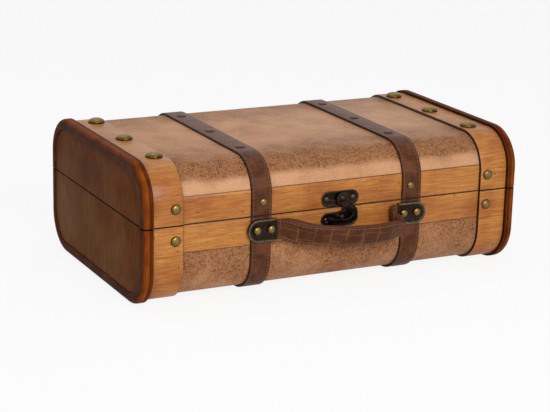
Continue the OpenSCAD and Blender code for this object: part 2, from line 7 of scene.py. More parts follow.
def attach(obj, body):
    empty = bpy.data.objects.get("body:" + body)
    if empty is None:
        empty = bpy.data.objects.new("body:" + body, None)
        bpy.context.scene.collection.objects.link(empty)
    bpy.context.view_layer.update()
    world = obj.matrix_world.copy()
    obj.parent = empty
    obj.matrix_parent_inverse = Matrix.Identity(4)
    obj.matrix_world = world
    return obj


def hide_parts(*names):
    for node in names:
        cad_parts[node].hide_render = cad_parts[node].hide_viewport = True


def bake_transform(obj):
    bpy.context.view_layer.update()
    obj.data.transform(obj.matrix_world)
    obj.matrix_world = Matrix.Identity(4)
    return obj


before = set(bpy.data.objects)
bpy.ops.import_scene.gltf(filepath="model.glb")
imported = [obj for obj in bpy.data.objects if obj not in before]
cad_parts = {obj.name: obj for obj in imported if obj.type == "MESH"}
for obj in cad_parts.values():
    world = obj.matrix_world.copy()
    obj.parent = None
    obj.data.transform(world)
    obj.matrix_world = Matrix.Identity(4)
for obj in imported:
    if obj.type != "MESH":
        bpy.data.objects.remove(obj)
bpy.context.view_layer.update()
mm = 0.001

# Camera: a long lens from the front left, a little above the lid, as in the photograph. Its
# place was fitted to the case's corners, edges and seam.
def added(name, data):
    """A new object in the scene."""
    made = bpy.data.objects.new(name, data)
    bpy.context.scene.collection.objects.link(made)
    return made


camera = added("camera", bpy.data.cameras.new("camera"))
camera.data.sensor_width = 36
camera.data.lens = 114.24
camera.data.clip_start = 0.05
turn = Matrix.Rotation(math.radians(-27.031), 4, "Z")
tilt = Matrix.Rotation(math.radians(90 - 15.945), 4, "X")
roll = Matrix.Rotation(math.radians(1.4347), 4, "Z")
camera.matrix_world = Matrix.Translation((-0.735548, -1.429624, 0.506145)) @ turn @ tilt @ roll
bpy.context.scene.camera = camera
bpy.context.scene.view_settings.view_transform = "Standard"


def colour(code):
    """A hex colour as it is seen on a screen, turned to the linear values that shaders use."""
    parts = [int(code[i:i + 2], 16) / 255 for i in (1, 3, 5)]
    return [c / 12.92 if c <= 0.04045 else ((c + 0.055) / 1.055) ** 2.4 for c in parts] + [1]


def node(material, kind, inputs={}, stops=(), **settings):
    """Adds a shader node, with its settings, its values and a ramp's colours. An input that is
    a node is linked from that node's first output in use."""
    made = material.node_tree.nodes.new("ShaderNode" + kind)
    for name, value in settings.items():
        setattr(made, name, value)
    for socket, value in inputs.items():
        if isinstance(value, bpy.types.Node):
            value = next(output for output in value.outputs if output.enabled)
        if isinstance(value, bpy.types.NodeSocket):
            material.node_tree.links.new(value, made.inputs[socket])
        elif isinstance(value, str):
            made.inputs[socket].default_value = colour(value)
        else:
            made.inputs[socket].default_value = value
    for i, (place, shade) in enumerate(stops):
        element = made.color_ramp.elements[i] if i < 2 else made.color_ramp.elements.new(place)
        element.position = place
        element.color = colour(shade)
    return made


def blank_material(name):
    """A material with an empty node tree."""
    made = bpy.data.materials.new(name)
    made.use_nodes = True
    made.node_tree.nodes.clear()
    return made


# Studio: a pale sweep of paper under the case, a soft box high in front, a large soft top light
# and a weak fill beyond the left end, which stays the darkest side.
CASE_MIDDLE = (0, 0, 60 * mm)


def soft_box(name, place, size, power):
    """A square area lamp that faces the case."""
    lamp = added(name, bpy.data.lights.new(name, "AREA"))
    lamp.data.size = size
    lamp.data.energy = power
    lamp.location = place
    facing = Vector(CASE_MIDDLE) - Vector(place)
    lamp.rotation_euler = facing.to_track_quat("-Z", "Y").to_euler()


soft_box("key", (-0.15, -1.8, 1.0), 0.8, 23)
soft_box("top", (-0.1, 0.3, 1.7), 1.4, 5)
soft_box("fill", (-1.7, -0.9, 0.7), 1.0, 2.5)

world = bpy.data.worlds.new("studio")
bpy.context.scene.world = world
world.use_nodes = True
world.node_tree.nodes.clear()
seen = node(world, "LightPath")
seen_or_glossy = node(world, "Math", {
    0: seen.outputs["Is Camera Ray"], 1: seen.outputs["Is Glossy Ray"]}, operation="MAXIMUM")
shown = node(world, "Math", {
    0: seen_or_glossy, 1: seen.outputs["Is Transmission Ray"]}, operation="MAXIMUM")
level = node(world, "MapRange", {"Value": shown, "To Min": 0.36})
sky = node(world, "Background", {"Color": "#ffffff", "Strength": level})
node(world, "OutputWorld", {"Surface": sky})

# The paper looks nearly white to the camera and still takes the case's shadow.
bpy.ops.mesh.primitive_plane_add(size=8, location=(0, 0, -0.5 * mm))
floor = bpy.context.object
floor.name = "studio_floor"
paper = blank_material("seamless_paper")
floor_path = node(paper, "LightPath")
seen_white = node(paper, "MapRange", {
    "Value": floor_path.outputs["Is Camera Ray"], "To Min": 0.3, "To Max": 0.88})
matt = node(paper, "BsdfDiffuse", {"Color": "#f4f4f4"})
white = node(paper, "Emission")
shade = node(paper, "MixShader", {0: seen_white, 1: matt, 2: white})
node(paper, "OutputMaterial", {"Surface": shade})
floor.data.materials.append(paper)


# Plywood shells: base and lid are each one sheet of birch bent round the two long edges, on end
# boards of the same wood. Only cut edges show, when the lid is open, as pale and dark plies 1 mm
# thick.
plywood = blank_material("birch_plywood")
ply_place = node(plywood, "TexCoord").outputs["Object"]
ply_stretch = node(plywood, "Mapping", {"Vector": ply_place, "Scale": (60, 1000, 1000)})
ply_grain = node(plywood, "TexNoise", {"Vector": ply_stretch, "Scale": 1.0, "Detail": 5.0})
ply_shade = node(plywood, "ValToRGB", {"Fac": ply_grain}, stops=[
    (0.3, "#8f6840"), (0.7, "#c29a68")])
ply_bump = node(plywood, "Bump", {"Height": ply_grain, "Strength": 0.2, "Distance": 0.1 * mm})
ply_skin = node(plywood, "BsdfPrincipled", {
    "Base Color": ply_shade, "Roughness": 0.7, "Normal": ply_bump})
node(plywood, "OutputMaterial", {"Surface": ply_skin})


def dress(name, material):
    """Gives a CAD node that keeps its shape its own finish."""
    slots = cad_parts[name].data.materials
    slots.clear()
    slots.append(material)


for tray in ("base", "lid"):
    for part in ("_carcass", "_end_board_left", "_end_board_right"):
        dress(tray + part, plywood)


# End rims: hardwood mouldings steamed round the ends, 10 mm wide, with a big rounding on the
# outer corner. The dark stain is rubbed thin to orange brown on the crown. Painted shade darkens
# the edge beside the band, a thin line where a groove runs, and the side facing the end.
FRONT = -115 * mm
CASE_END = 190 * mm
RIM_INNER = 179.8 * mm
HEIGHT = 130 * mm
INSET = 2.4 * mm
SEAM = 75.6 * mm
BASE_SEAM = SEAM - 0.3 * mm
LID_SEAM = SEAM + 0.3 * mm
BASE_BEND = 36.2 * mm
LID_BEND = 93.8 * mm
EDGE_CENTRE_Y = -78.8 * mm
FLAT = -2 * EDGE_CENTRE_Y
BEND = ("bend", 90)
WELD = 0.001 * mm
BASE_WALL = BASE_SEAM - BASE_BEND
LID_WALL = LID_BEND - LID_SEAM
TRAYS = (("base", False, BASE_SEAM, BASE_WALL), ("lid", True, LID_SEAM, LID_WALL))


def pick(*pieces):
    """Selects these pieces alone and makes the first one active."""
    bpy.ops.object.select_all(action="DESELECT")
    for piece in pieces:
        piece.select_set(True)
    bpy.context.view_layer.objects.active = pieces[0]


def open_mesh():
    """Starts editing the active piece, with all of its faces selected."""
    bpy.ops.object.mode_set(mode="EDIT")
    bpy.ops.mesh.select_mode(type="FACE")
    bpy.ops.mesh.select_all(action="SELECT")


def close_mesh(merge=None):
    """Ends the editing, with doubles merged where asked and all faces turned outwards."""
    bpy.ops.mesh.select_all(action="SELECT")
    if merge:
        bpy.ops.mesh.remove_doubles(threshold=merge)
    bpy.ops.mesh.normals_make_consistent(inside=False)
    bpy.ops.object.mode_set(mode="OBJECT")


def extrude(x, y, z):
    """Draws the selected faces out."""
    bpy.ops.mesh.extrude_region_move(TRANSFORM_OT_translate={"value": (x, y, z)})


def flat_sheet(name, width, length, middle=(0, 0, 0)):
    """A level rectangle, from which a piece is drawn out."""
    bpy.ops.mesh.primitive_plane_add(size=1, location=middle)
    piece = bpy.context.object
    piece.name = piece.data.name = name
    piece.scale = (width, length, 1)
    bpy.ops.object.transform_apply()
    return piece


def section(name, x0, x1, depth0, depth1, z):
    """The section of a bent piece, at the front wall. Depth counts in from the rims' outline."""
    middle = ((x0 + x1) / 2, FRONT + (depth0 + depth1) / 2, z)
    return flat_sheet(name, x1 - x0, depth1 - depth0, middle)


def round_corner(piece, x, y, radius, steps):
    """Rounds the corner of a flat sheet that lies at x, y."""
    for vertex in piece.data.vertices:
        vertex.select = abs(vertex.co.x - x) < 10 * WELD and abs(vertex.co.y - y) < 10 * WELD
    for group in (*piece.data.edges, *piece.data.polygons):
        group.select = False
    bpy.ops.object.mode_set(mode="EDIT")
    bpy.ops.mesh.select_mode(type="VERT")
    bpy.ops.mesh.bevel(offset=radius, segments=steps, affect="VERTICES")
    bpy.ops.object.mode_set(mode="OBJECT")


def draw_round(piece, lid, moves):
    """Extrudes a section along the case's outline. A number is a straight run in metres, and
    a pair ("bend", degrees) turns round the long edge."""
    up = 1 if lid else -1
    centre_z = LID_BEND if lid else BASE_BEND
    headings = [(0, 0, up), (0, 1, 0), (0, 0, -up)]
    centres = [(0, EDGE_CENTRE_Y, centre_z), (0, -EDGE_CENTRE_Y, centre_z)]
    stage = 0
    open_mesh()
    for move in moves:
        if isinstance(move, tuple):
            bpy.ops.mesh.spin(steps=max(2, round(move[1] / 5)), angle=math.radians(move[1]),
                              center=centres[stage], axis=(up, 0, 0))
            stage += 1
        else:
            extrude(*(Vector(headings[stage]) * move))
    close_mesh(merge=WELD)


def soften(piece, width, steps=2, sharper=40, smooth=35, slot=-1):
    """Rounds a piece's sharp edges, in the material of a slot if given, and shades the rest
    smooth."""
    bevel = piece.modifiers.new("soften", "BEVEL")
    bevel.width = width
    bevel.segments = steps
    bevel.limit_method = "ANGLE"
    bevel.angle_limit = math.radians(sharper)
    bevel.material = slot
    pick(piece)
    bpy.ops.object.modifier_apply(modifier=bevel.name)
    bpy.ops.object.shade_smooth_by_angle(angle=math.radians(smooth))


def mirrored(piece, name, axis):
    """A copy of a piece on the other side of the case, with its own mesh."""
    copy = added(name, piece.data.copy())
    copy.data.name = name
    copy.data.transform(Matrix.Scale(-1, 4, axis))
    copy.data.flip_normals()
    return copy


def fit(piece, body, slot, material, *nodes):
    """Finishes a piece and lets it stand for its CAD nodes."""
    piece.data.materials.clear()
    piece.data.materials.append(material)
    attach(piece, body)
    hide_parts(*nodes)


def fit_both_ends(piece, body, slot, material, part):
    """Fits a piece at the right and its mirror image at the left, each for its CAD node."""
    other = mirrored(piece, piece.name.replace("right", "left"), (1, 0, 0))
    fit(piece, body, slot, material, f"{body}_{part}_right")
    fit(other, body, slot, material, f"{body}_{part}_left")


def line_at(material, along, place, half_width, fade, depth=1.0):
    """A mask for a thin line at one place along an axis. It is as strong as its depth on the
    line and fades out beside it."""
    off = node(material, "Math", {0: along, 1: place}, operation="SUBTRACT")
    apart = node(material, "Math", {0: off}, operation="ABSOLUTE")
    return node(material, "MapRange", {
        "Value": apart, "From Min": half_width, "From Max": half_width + fade, "To Min": depth,
        "To Max": 0.0})


def tinted(material, base, amount, pattern, stops):
    """Darkens a colour by a pattern. White in the ramp leaves it as it is."""
    tint = node(material, "ValToRGB", {"Fac": pattern}, stops=stops)
    return node(material, "Mix", {
        0: amount, 6: base, 7: tint}, data_type="RGBA", blend_type="MULTIPLY")


# The stain's grain runs along the moulding in streaks 1 mm wide, over clouds of wear 20 mm wide.
# Painted shade lies dark along the rim's edge by the band and in a groove line, and a painted
# shadow lies black along the seam.
stain = blank_material("stained_hardwood")
rim_place = node(stain, "TexCoord").outputs["Object"]
rim_stretch = node(stain, "Mapping", {"Vector": rim_place, "Scale": (1100, 70, 70)})
rim_grain = node(stain, "TexNoise", {
    "Vector": rim_stretch, "Scale": 1.0, "Detail": 5.0, "Roughness": 0.6})
rim_cloud = node(stain, "TexNoise", {"Vector": rim_place, "Scale": 45.0, "Detail": 3.0})
rim_axes = node(stain, "SeparateXYZ", {0: rim_place})
rim_across = node(stain, "Math", {0: rim_axes.outputs["X"]}, operation="ABSOLUTE")
rim_crown = node(stain, "MapRange", {
    "Value": rim_across, "From Min": RIM_INNER, "From Max": CASE_END})
# Across the rim the stain's tone carries painted shade: dark at the band's edge, a dark groove
# line 3 mm out, and darker over the rounding to the end.
rim_stain_and_shade = node(stain, "ValToRGB", {"Fac": rim_crown}, stops=[
    (0.0, "#3e1d0b"), (1.0, "#542c14"), (0.08, "#70360a"), (0.26, "#68310a"), (0.30, "#2b1307"),
    (0.34, "#70350a"), (0.52, "#9c4d0e"), (0.82, "#823e0c"), (0.97, "#5a2f12")])
rim_shade = tinted(stain, rim_stain_and_shade, 0.8, rim_grain, [(0.3, "#8a7060"), (0.65, "#ffffff")])
rim_colour = tinted(stain, rim_shade, 0.7, rim_cloud, [(0.35, "#b09a90"), (0.6, "#ffffff")])
# A black line of painted shadow along the seam between lid and base.
rim_seam_shadow = line_at(stain, rim_axes.outputs["Z"], SEAM, 0.4 * mm, 0.5 * mm)
rim_seam_shaded = node(stain, "Mix", {0: rim_seam_shadow, 6: rim_colour, 7: "#150a06"}, data_type="RGBA")
rim_bump = node(stain, "Bump", {"Height": rim_grain, "Strength": 0.25, "Distance": 0.2 * mm})
rim_skin = node(stain, "BsdfPrincipled", {
    "Base Color": rim_seam_shaded, "Roughness": 0.55, "Specular IOR Level": 0.05, "Normal": rim_bump})
node(stain, "OutputMaterial", {"Surface": rim_skin})

for tray, lid, seam, wall in TRAYS:
    rim = section(tray + "_rim_moulding_right", RIM_INNER, CASE_END, 0, 9.8 * mm, seam)
    round_corner(rim, CASE_END, FRONT, 5 * mm, 8)
    draw_round(rim, lid, [wall, BEND, FLAT, BEND, wall])
    soften(rim, 0.7 * mm, 3)
    fit_both_ends(rim, tray, "rim_wood", stain, "rim")


# Wood bands: honey coloured veneer, 29 mm wide, bent over the case beside each rim and nailed.
# A varnish gives a soft shine. Each band is pieced together with a fine butt joint.
veneer = blank_material("varnished_honey_veneer")

# The grain runs across the band in brown streaks 1.3 mm wide and 30 mm long that drift a little,
# with dark pores 0.4 mm wide, clouds 40 mm wide and a few pin knots on cells of 22 mm.
wood_place = node(veneer, "TexCoord").outputs["Object"]
wood_wave = node(veneer, "TexNoise", {"Vector": wood_place, "Scale": 30.0, "Detail": 2.0})
wood_drift = node(veneer, "Mix", {
    0: 0.003, 4: wood_place, 5: wood_wave.outputs["Color"]}, data_type="VECTOR")
wood_stretch = node(veneer, "Mapping", {"Vector": wood_drift, "Scale": (34, 760, 760)})
wood_grain = node(veneer, "TexNoise", {
    "Vector": wood_stretch, "Scale": 1.0, "Detail": 7.0, "Roughness": 0.62})
wood_fine = node(veneer, "Mapping", {"Vector": wood_place, "Scale": (190, 2600, 2600)})
wood_pores = node(veneer, "TexNoise", {"Vector": wood_fine, "Scale": 1.0, "Detail": 3.0})
wood_cloud = node(veneer, "TexNoise", {"Vector": wood_place, "Scale": 26.0, "Detail": 3.0})
wood_colour = node(veneer, "ValToRGB", {"Fac": wood_grain}, stops=[
    (0.26, "#935622"), (0.74, "#cb8c43"), (0.42, "#aa692e"), (0.55, "#ba7a33")])
wood_clouded = tinted(veneer, wood_colour, 0.75, wood_cloud, [(0.3, "#cfa283"), (0.6, "#ffffff")])
wood_pored = tinted(veneer, wood_clouded, 0.6, wood_pores, [(0.3, "#6b4020"), (0.42, "#ffffff")])
wood_x, wood_y, wood_z = node(veneer, "SeparateXYZ", {0: wood_place}).outputs
knot_rise = node(veneer, "Math", {0: wood_y, 1: wood_z}, operation="ADD")
knot_flat = node(veneer, "CombineXYZ", {0: wood_x, 1: knot_rise})
knot_cells = node(veneer, "TexVoronoi", {
    "Vector": knot_flat, "Scale": 46.0}, voronoi_dimensions="2D")
knot_pick = node(veneer, "SeparateColor", {0: knot_cells.outputs["Color"]})
knot_some = node(veneer, "Math", {0: knot_pick.outputs["Red"], 1: 0.6}, operation="GREATER_THAN")
knot_core = node(veneer, "MapRange", {
    "Value": knot_cells.outputs["Distance"], "From Min": 0.02, "From Max": 0.055, "To Min": 0.85,
    "To Max": 0.0})
knot = node(veneer, "Math", {0: knot_some, 1: knot_core}, operation="MULTIPLY")
wood_knotted = node(veneer, "Mix", {0: knot, 6: wood_pored, 7: "#4a2a14"}, data_type="RGBA")

# Painted shadow darkens the cut edges: along the seam, where bands and strips meet, and along
# the strips' long edges. The bands' butt joints show as finer lines, real dark joints.
WOOD_MEET = 151 * mm
wood_seam_shadow = line_at(veneer, wood_z, SEAM, 0.45 * mm, 0.5 * mm)
wood_across = node(veneer, "Math", {0: wood_x}, operation="ABSOLUTE")
wood_meet_shadow = line_at(veneer, wood_across, WOOD_MEET, 0.35 * mm, 0.4 * mm)
strip_low = node(veneer, "MapRange", {
    "Value": wood_z, "From Min": 50.1 * mm, "From Max": 50.6 * mm, "To Min": 0.85, "To Max": 0.0})
strip_high = node(veneer, "MapRange", {
    "Value": wood_z, "From Min": 99.7 * mm, "From Max": 100.2 * mm, "To Max": 0.85})
strip_ends = node(veneer, "Math", {0: strip_low, 1: strip_high}, operation="MAXIMUM")
strip_only = node(veneer, "Math", {0: wood_across, 1: WOOD_MEET}, operation="LESS_THAN")
strip_edge_shadow = node(veneer, "Math", {0: strip_ends, 1: strip_only}, operation="MULTIPLY")
butt_line = line_at(veneer, wood_z, 49 * mm, 0.2 * mm, 0.4 * mm, 0.4)
top_line = line_at(veneer, wood_y, 31 * mm, 0.2 * mm, 0.5 * mm, 0.5)
# The seam and edge lines are painted shadow; the butt joints are real dark joints.
edge_shadow_and_joints = wood_seam_shadow
for line_mask in (wood_meet_shadow, strip_edge_shadow, butt_line, top_line):
    edge_shadow_and_joints = node(veneer, "Math", {0: edge_shadow_and_joints, 1: line_mask}, operation="MAXIMUM")
wood_edged = node(veneer, "Mix", {0: edge_shadow_and_joints, 6: wood_knotted, 7: "#22120a"}, data_type="RGBA")
wood_bump = node(veneer, "Bump", {"Height": wood_grain, "Strength": 0.3, "Distance": 0.15 * mm})
wood_skin = node(veneer, "BsdfPrincipled", {
    "Base Color": wood_edged, "Roughness": 0.42, "Specular IOR Level": 0.3, "Coat Weight": 0.1,
    "Coat Roughness": 0.3, "Normal": wood_bump})
node(veneer, "OutputMaterial", {"Surface": wood_skin})

for tray, lid, seam, wall in TRAYS:
    band = section(tray + "_veneer_band_right", 151.2 * mm, 179.5 * mm, INSET, 5.6 * mm, seam)
    draw_round(band, lid, [wall, BEND, FLAT, BEND, wall])
    soften(band, 0.5 * mm)
    fit_both_ends(band, tray, "honey_wood", veneer, "band")


# Wood strips: the same veneer, let in along the seam between the bands, front and back. The
# lid's strip just reaches the rounded edge and bends back a little there.
STRIP_X = 150.8 * mm
STRIP_TURN = ("bend", 11.9)
for tray, lid, seam, wall in TRAYS:
    strip = section(tray + "_veneer_strip_front", -STRIP_X, STRIP_X, 4.2 * mm, 5.6 * mm, seam)
    draw_round(strip, lid, [wall, STRIP_TURN] if lid else [25.4 * mm])
    soften(strip, 0.35 * mm)
    other = mirrored(strip, tray + "_veneer_strip_back", (0, 1, 0))
    fit(strip, tray, "honey_wood", veneer, tray + "_front_strip")
    fit(other, tray, "honey_wood", veneer, tray + "_back_strip")


# Cover: a thin leather look sheet glued over the shell between the bands. Its pale tan face has
# crackled, and brown has been rubbed in, darkest along the upper long edges and under the strip.
sheet = blank_material("crackled_leather_sheet")

# The crackle is a net of pale lines round cells 2 mm wide. The brown lies in blotches 13 mm wide
# and clouds 30 mm wide, and pale flecks 2 mm wide stay between them.
skin_place = node(sheet, "TexCoord").outputs["Object"]
skin_shake = node(sheet, "TexNoise", {"Vector": skin_place, "Scale": 700.0, "Detail": 2.0})
skin_warp = node(sheet, "Mix", {
    0: 0.0022, 4: skin_place, 5: skin_shake.outputs["Color"]}, data_type="VECTOR")
skin_cells = node(sheet, "TexVoronoi", {
    "Vector": skin_warp, "Scale": 520.0}, feature="DISTANCE_TO_EDGE")
skin_vein = node(sheet, "MapRange", {
    "Value": skin_cells.outputs["Distance"], "From Min": 0.01, "From Max": 0.10})
skin_speck = node(sheet, "TexNoise", {
    "Vector": skin_place, "Scale": 420.0, "Detail": 5.0, "Roughness": 0.7})
skin_cloud = node(sheet, "TexNoise", {
    "Vector": skin_place, "Scale": 34.0, "Detail": 6.0, "Roughness": 0.65})
skin_axes = node(sheet, "SeparateXYZ", {0: skin_place})
skin_height = node(sheet, "MapRange", {"Value": skin_axes.outputs["Z"], "From Max": HEIGHT})
skin_edge = node(sheet, "ValToRGB", {"Fac": skin_height}, stops=[
    (0.0, "#aaaaaa"), (1.0, "#707070"), (0.2, "#c4c4c4"), (0.37, "#d6d6d6"), (0.76, "#484848"),
    (0.84, "#707070"), (0.882, "#dadada"), (0.93, "#dadada"), (0.958, "#787878")])
skin_side = node(sheet, "Math", {0: skin_axes.outputs["Y"]}, operation="ABSOLUTE")
skin_shoulder = node(sheet, "MapRange", {
    "Value": skin_side, "From Min": 30 * mm, "From Max": 84 * mm, "To Max": 0.34},
    interpolation_type="SMOOTHSTEP")
skin_upper = node(sheet, "MapRange", {
    "Value": skin_axes.outputs["Z"], "From Min": 119 * mm, "From Max": 124 * mm})
skin_top = node(sheet, "Math", {0: skin_shoulder, 1: skin_upper}, operation="MULTIPLY")
skin_rise = node(sheet, "Math", {0: skin_edge, 1: skin_top}, operation="ADD")
skin_rub = node(sheet, "Math", {0: skin_cloud, 1: skin_rise}, operation="ADD")
skin_worn = node(sheet, "MapRange", {"Value": skin_rub, "From Min": 0.58, "From Max": 1.12})
skin_fleck = node(sheet, "MapRange", {
    "Value": skin_speck, "From Min": 0.36, "From Max": 0.60, "To Min": 0.45})
skin_patch = node(sheet, "Math", {0: skin_worn, 1: skin_fleck}, operation="MULTIPLY")
skin_blotch = node(sheet, "TexNoise", {
    "Vector": skin_place, "Scale": 75.0, "Detail": 5.0, "Roughness": 0.6})
skin_brown = node(sheet, "ValToRGB", {"Fac": skin_blotch}, stops=[
    (0.34, "#592d11"), (0.66, "#7f4b22"), (0.5, "#693715")])
skin_ground = node(sheet, "Mix", {0: skin_patch, 6: "#c4906a", 7: skin_brown}, data_type="RGBA")
skin_dull = node(sheet, "Math", {0: skin_worn, 1: 0.75}, operation="MULTIPLY")
skin_pale = node(sheet, "Mix", {0: skin_dull, 6: "#cea07a", 7: "#98643a"}, data_type="RGBA")
skin_lines = node(sheet, "Mix", {0: skin_vein, 6: skin_pale, 7: skin_ground}, data_type="RGBA")
skin_bump = node(sheet, "Bump", {
    "Height": skin_cells.outputs["Distance"], "Strength": 0.25, "Distance": 0.15 * mm})
skin_face = node(sheet, "BsdfPrincipled", {
    "Base Color": skin_lines, "Roughness": 0.46, "Specular IOR Level": 0.1, "Normal": skin_bump})
node(sheet, "OutputMaterial", {"Surface": skin_face})

COVER_HALF = 150.9 * mm
COVER_WALL = 13.4 * mm
base_cover = section("base_leather_sheet", -COVER_HALF, COVER_HALF, 4.8 * mm, 5.6 * mm,
                     BASE_BEND + COVER_WALL)
draw_round(base_cover, False, [COVER_WALL, BEND, FLAT, BEND, COVER_WALL])
soften(base_cover, 0.2 * mm)
fit(base_cover, "base", "cover_leather", sheet, "base_cover")

# The lid's sheet starts on the rounded edge, so its section is first turned back to there.
LID_START = 12.1
lid_cover = section("lid_leather_sheet", -COVER_HALF, COVER_HALF, 4.8 * mm, 5.6 * mm, LID_BEND)
to_start = Matrix.Translation((0, EDGE_CENTRE_Y, LID_BEND)) @ Matrix.Rotation(
    math.radians(-LID_START), 4, "X") @ Matrix.Translation((0, -EDGE_CENTRE_Y, -LID_BEND))
lid_cover.data.transform(to_start)
draw_round(lid_cover, True, [("bend", 90 - LID_START), FLAT, ("bend", 90 - LID_START)])
soften(lid_cover, 0.2 * mm)
fit(lid_cover, "lid", "cover_leather", sheet, "lid_cover")


# End panels: thin boards covered in dark worn leather look sheet, let in flush inside the rims
# and glued to the end boards.
end_skin = blank_material("worn_dark_leather_sheet")

# Streaks 4 mm wide and 17 mm long run down them, over clouds 60 mm wide that get lighter below.
# A few slanting pale scratches 1 mm wide show years of use.
end_place = node(end_skin, "TexCoord").outputs["Object"]
end_stretch = node(end_skin, "Mapping", {"Vector": end_place, "Scale": (260, 240, 60)})
end_streak = node(end_skin, "TexNoise", {
    "Vector": end_stretch, "Scale": 1.0, "Detail": 5.0, "Roughness": 0.6})
end_cloud = node(end_skin, "TexNoise", {"Vector": end_place, "Scale": 17.0, "Detail": 5.0})
end_axes = node(end_skin, "SeparateXYZ", {0: end_place})
end_rise = node(end_skin, "MapRange", {
    "Value": end_axes.outputs["Z"], "From Min": 50 * mm, "From Max": 100 * mm, "To Min": 0.18,
    "To Max": -0.01})
end_level = node(end_skin, "Math", {0: end_cloud, 1: end_rise}, operation="ADD")
end_tone = node(end_skin, "ValToRGB", {"Fac": end_level}, stops=[
    (0.3, "#52280f"), (0.78, "#7a5030"), (0.52, "#693a1a")])
end_streaked = tinted(end_skin, end_tone, 0.65, end_streak, [(0.3, "#b3a79f"), (0.7, "#ffffff")])
scratch_turn = node(end_skin, "Mapping", {
    "Vector": end_place, "Rotation": (0.5, 0, 0), "Scale": (60, 900, 38)})
scratch_noise = node(end_skin, "TexNoise", {"Vector": scratch_turn, "Scale": 1.0, "Detail": 1.0})
scratch = node(end_skin, "MapRange", {
    "Value": scratch_noise, "From Min": 0.70, "From Max": 0.78, "To Max": 0.45})
end_scratched = node(end_skin, "Mix", {
    0: scratch, 6: end_streaked, 7: "#9a8068"}, data_type="RGBA")
# A black line of painted shadow along the seam between lid and base.
end_seam_shadow = line_at(end_skin, end_axes.outputs["Z"], SEAM, 0.4 * mm, 0.5 * mm)
end_seam_shaded = node(end_skin, "Mix", {0: end_seam_shadow, 6: end_scratched, 7: "#140c08"}, data_type="RGBA")
end_bump = node(end_skin, "Bump", {"Height": end_streak, "Strength": 0.3, "Distance": 0.2 * mm})
end_face = node(end_skin, "BsdfPrincipled", {
    "Base Color": end_seam_shaded, "Roughness": 0.65, "Specular IOR Level": 0.05, "Normal": end_bump})
node(end_skin, "OutputMaterial", {"Surface": end_face})


STAND_UP = Matrix(((0, 0, 1, 0), (0, 1, 0, 0), (1, 0, 0, 0), (0, 0, 0, 1)))


def end_sheet(name, lid, low, high, width, radius, x, thickness):
    """A sheet across an end of the case, with its two outer corners rounded. It is drawn flat,
    stood up at x and extruded to its thickness."""
    piece = flat_sheet(name, high - low, width)
    outer_x = (high - low) / 2 * (1 if lid else -1)
    for y in (-width / 2, width / 2):
        round_corner(piece, outer_x, y, radius, 14)
    piece.data.transform(Matrix.Translation((x, 0, (low + high) / 2)) @ STAND_UP)
    open_mesh()
    extrude(thickness, 0, 0)
    close_mesh()
    return piece


for tray, lid, seam, wall in TRAYS:
    low, high = (76 * mm, 120 * mm) if lid else (10 * mm, 75.2 * mm)
    panel = end_sheet(tray + "_leather_panel_right", lid, low, high, 210 * mm, 26.2 * mm,
                      186 * mm, 2.6 * mm)
    soften(panel, 0.5 * mm)
    fit_both_ends(panel, tray, "end_skin", end_skin, "end_panel")


# Lining: plain brown cotton glued inside the shell and on the end boards, with its raw edges
# turned under at the seam. Its weave is drawn at 0.9 mm, three times as coarse as the real one.
cloth = blank_material("plain_woven_cotton")
cloth_place = node(cloth, "TexCoord").outputs["Object"]
THREAD = 2 * math.pi / (0.9 * mm)
cloth_x, cloth_y, cloth_z = node(cloth, "SeparateXYZ", {0: cloth_place}).outputs
cloth_rise = node(cloth, "Math", {0: cloth_y, 1: cloth_z}, operation="ADD")
warp_beat = node(cloth, "Math", {0: cloth_x, 1: THREAD}, operation="MULTIPLY")
cloth_warp = node(cloth, "Math", {0: warp_beat}, operation="SINE")
weft_beat = node(cloth, "Math", {0: cloth_rise, 1: THREAD}, operation="MULTIPLY")
cloth_weft = node(cloth, "Math", {0: weft_beat}, operation="SINE")
cloth_weave = node(cloth, "Math", {0: cloth_warp, 1: cloth_weft}, operation="MULTIPLY")
cloth_slub = node(cloth, "TexNoise", {"Vector": cloth_place, "Scale": 90.0, "Detail": 5.0})
cloth_tone = node(cloth, "ValToRGB", {"Fac": cloth_slub}, stops=[
    (0.35, "#6e5a42"), (0.65, "#8a7456")])
cloth_lit = node(cloth, "MapRange", {"Value": cloth_weave, "From Min": -1.0, "To Min": 0.72})
cloth_shade = node(cloth, "Mix", {
    0: 1.0, 6: cloth_tone, 7: cloth_lit}, data_type="RGBA", blend_type="MULTIPLY")
cloth_bump = node(cloth, "Bump", {"Height": cloth_weave, "Strength": 0.4, "Distance": 0.15 * mm})
cloth_face = node(cloth, "BsdfPrincipled", {
    "Base Color": cloth_shade, "Roughness": 0.9, "Sheen Weight": 0.2, "Normal": cloth_bump})
node(cloth, "OutputMaterial", {"Surface": cloth_face})

for tray, lid, seam, wall in TRAYS:
    lining = section(tray + "_cotton_lining", -173.9 * mm, 173.9 * mm, 9.9 * mm, 10.6 * mm, seam)
    draw_round(lining, lid, [wall, BEND, FLAT, BEND, wall])
    low, high = (76 * mm, 119.8 * mm) if lid else (10.2 * mm, 75.2 * mm)
    ends = [end_sheet(tray + "_lining_end", lid, low, high, 209.6 * mm, 26 * mm,
                      side * 173.2 * mm, side * 0.7 * mm) for side in (-1, 1)]
    pick(lining, *ends)
    bpy.ops.object.join()
    soften(lining, 0.2 * mm)
    fit(lining, tray, "lining_cloth", cloth, tray + "_lining")


